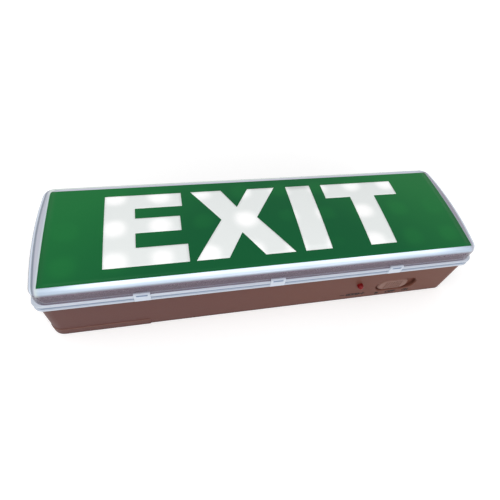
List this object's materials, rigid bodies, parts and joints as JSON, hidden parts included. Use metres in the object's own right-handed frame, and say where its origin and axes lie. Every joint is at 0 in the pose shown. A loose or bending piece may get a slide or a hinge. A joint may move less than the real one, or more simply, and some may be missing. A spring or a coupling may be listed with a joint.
{
  "type": "emergency exit light",
  "caption": "Slim rectangular emergency exit light with a clear clip-on cover, a green lit legend film, a charge indicator and a slide selector in its side wall.",
  "frame": {"origin": "centre of the flat back face", "axes": "+X along the length in the legend's reading direction, +Y towards the top of the legend, +Z out of the back face towards the reader"},
  "size_m": [0.3498, 0.1042, 0.063],
  "materials": {
    "housing_plastic": "satin moulded plastic, rose-brown as it shows",
    "black_rubber": "matt",
    "seal_rubber": "soft matt silicone",
    "clear_plastic": "clear polished plastic",
    "opal_plastic": "opal, lit from behind",
    "legend_green": "printed film, safety green, lit from behind",
    "pan_enamel": "white enamel",
    "plated_steel": "zinc plated",
    "led_package": "phosphor on white ceramic",
    "battery_sleeve": "blue shrink sleeve",
    "board_green": "solder mask",
    "ferrite": "matt ferrite",
    "coil_tape": "yellow winding tape",
    "capacitor_can": "black sleeve",
    "capacitor_film": "dipped film capacitor",
    "chip_black": "moulded",
    "fuse_case": "moulded case",
    "terminal_green": "moulded",
    "connector_white": "moulded",
    "switch_steel": "plain",
    "knob_plastic": "satin moulded plastic, lighter than the housing as it shows",
    "indicator_red": "tinted clear",
    "strip_white": "white solder mask"
  },
  "bodies": {
    "base": {"battery_pack": "battery_sleeve", "battery_plug": "connector_white", "bridge_rectifier": "chip_black", "cable_grommet": "black_rubber", "capacitors": "capacitor_can", "charge_indicator": "indicator_red", "control_board": "board_green", "driver_chip": "chip_black", "film_capacitor": "capacitor_film", "front_board": "board_green", "fuse": "fuse_case", "gasket": "seal_rubber", "housing": "housing_plastic", "indicator_leads": "plated_steel", "led_chips": "led_package", "led_pan": "pan_enamel", "led_strip_lower": "strip_white", "led_strip_middle": "strip_white", "led_strip_upper": "strip_white", "mains_choke": "ferrite", "pan_screws": "plated_steel", "slide_switch": "switch_steel", "terminal_block": "terminal_green", "terminal_tabs": "connector_white", "transformer_coil": "coil_tape", "transformer_core": "ferrite", "upstand": "housing_plastic"},
    "cover_assembly": {"cover": "clear_plastic", "diffuser_panel": "opal_plastic", "legend_film": "legend_green"},
    "selector": {"switch_knob": "knob_plastic", "switch_lever": "chip_black"}
  },
  "joints": [
    {"name": "cover_lift", "type": "slide", "parent": "base", "child": "cover_assembly", "axis": [0, 0, 1], "range_m": [0, 0.04]},
    {"name": "selector_slide", "type": "slide", "parent": "base", "child": "selector", "axis": [1, 0, 0], "range_m": [0, 0.006]}
  ]
}
